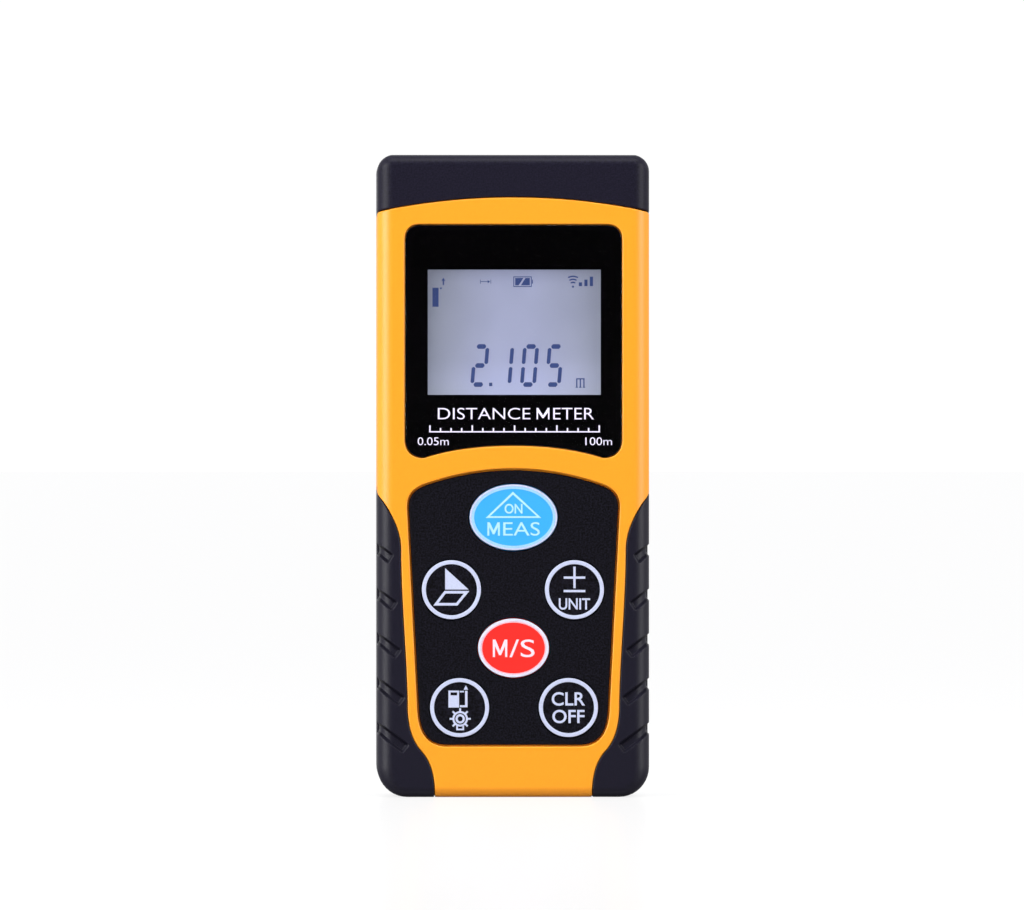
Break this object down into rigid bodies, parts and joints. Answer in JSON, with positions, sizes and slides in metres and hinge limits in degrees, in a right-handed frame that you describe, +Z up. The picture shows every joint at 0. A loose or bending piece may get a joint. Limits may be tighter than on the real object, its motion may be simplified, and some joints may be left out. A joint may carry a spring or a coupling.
{
  "type": "laser distance meter",
  "caption": "Upright handheld laser distance meter: a moulded case with display window, sprung keys, side grips, nose cap over the optics and a hinged battery door.",
  "frame": {"origin": "centre of the lower end, on the surface that the meter stands on", "axes": "+Z up to the nose that the laser leaves through; the display faces -Y; +X is to the right of someone reading the display"},
  "size_m": [0.05, 0.027, 0.118],
  "materials": {
    "orange_plastic": "satin",
    "cap_plastic": "satin",
    "grip_rubber": "matte",
    "keypad_black": "matte",
    "window_black": "gloss",
    "key_blue": "satin",
    "key_red": "satin",
    "key_black": "matte",
    "silicone": "matte",
    "circuit_board": "satin",
    "chip_black": "satin",
    "display_grey": "gloss",
    "frame_white": "satin",
    "cast_metal": "matte",
    "lens_glass": "gloss",
    "brass": "satin",
    "steel": "satin",
    "cell_jacket": "gloss",
    "foam": "matte",
    "label_silver": "satin",
    "ribbon_film": "satin"
  },
  "bodies": {
    "housing": {"front_shell": "orange_plastic", "rear_shell": "orange_plastic", "nose_cap": "cap_plastic", "grip_front_left": "grip_rubber", "grip_front_right": "grip_rubber", "grip_rear_left": "grip_rubber", "grip_rear_right": "grip_rubber", "display_window": "window_black", "rear_label": "label_silver", "optics_window": "window_black", "keypad_panel": "keypad_black", "key_mat": "silicone", "switch_measure": "steel", "switch_area": "steel", "switch_unit": "steel", "switch_memory": "steel", "switch_reference": "steel", "switch_clear": "steel", "main_board": "circuit_board", "controller_chip": "chip_black", "buzzer": "chip_black", "board_ribbon": "ribbon_film", "lcd_glass": "display_grey", "lcd_frame": "frame_white", "lcd_backlight": "frame_white", "lcd_connector": "silicone", "optics_chassis": "cast_metal", "receiver_lens": "lens_glass", "lens_ring": "cap_plastic", "laser_barrel": "brass", "laser_lens": "lens_glass", "laser_diode": "steel", "photodiode": "steel", "sensor_board": "circuit_board", "battery_left": "cell_jacket", "battery_right": "cell_jacket", "battery_spring_left": "steel", "battery_spring_right": "steel", "bridge_contact": "steel", "top_contact_left": "steel", "top_contact_right": "steel", "case_screw_1": "steel", "case_screw_2": "steel", "case_screw_3": "steel", "case_screw_4": "steel", "board_screw_1": "steel", "board_screw_2": "steel", "board_screw_3": "steel", "optics_screw_1": "steel", "optics_screw_2": "steel"},
    "measure_key": {"key_measure": "key_blue"},
    "area_key": {"key_area": "key_black"},
    "unit_key": {"key_unit": "key_black"},
    "memory_key": {"key_memory": "key_red"},
    "reference_key": {"key_reference": "key_black"},
    "clear_key": {"key_clear": "key_black"},
    "door": {"battery_door": "cap_plastic", "door_pad": "foam"}
  },
  "joints": [
    {"name": "measure_press", "type": "slide", "parent": "housing", "child": "measure_key", "axis": [0, 1, 0], "range_m": [0, 0.0005], "stiffness_N_per_m": 1500},
    {"name": "area_press", "type": "slide", "parent": "housing", "child": "area_key", "axis": [0, 1, 0], "range_m": [0, 0.0005], "stiffness_N_per_m": 1500},
    {"name": "unit_press", "type": "slide", "parent": "housing", "child": "unit_key", "axis": [0, 1, 0], "range_m": [0, 0.0005], "stiffness_N_per_m": 1500},
    {"name": "memory_press", "type": "slide", "parent": "housing", "child": "memory_key", "axis": [0, 1, 0], "range_m": [0, 0.0005], "stiffness_N_per_m": 1500},
    {"name": "reference_press", "type": "slide", "parent": "housing", "child": "reference_key", "axis": [0, 1, 0], "range_m": [0, 0.0005], "stiffness_N_per_m": 1500},
    {"name": "clear_press", "type": "slide", "parent": "housing", "child": "clear_key", "axis": [0, 1, 0], "range_m": [0, 0.0005], "stiffness_N_per_m": 1500},
    {"name": "door_swing", "type": "hinge", "parent": "housing", "child": "door", "pos_m": [0, 0.0135, 0.0113], "axis": [-1, 0, 0], "range_deg": [0, 60]}
  ]
}
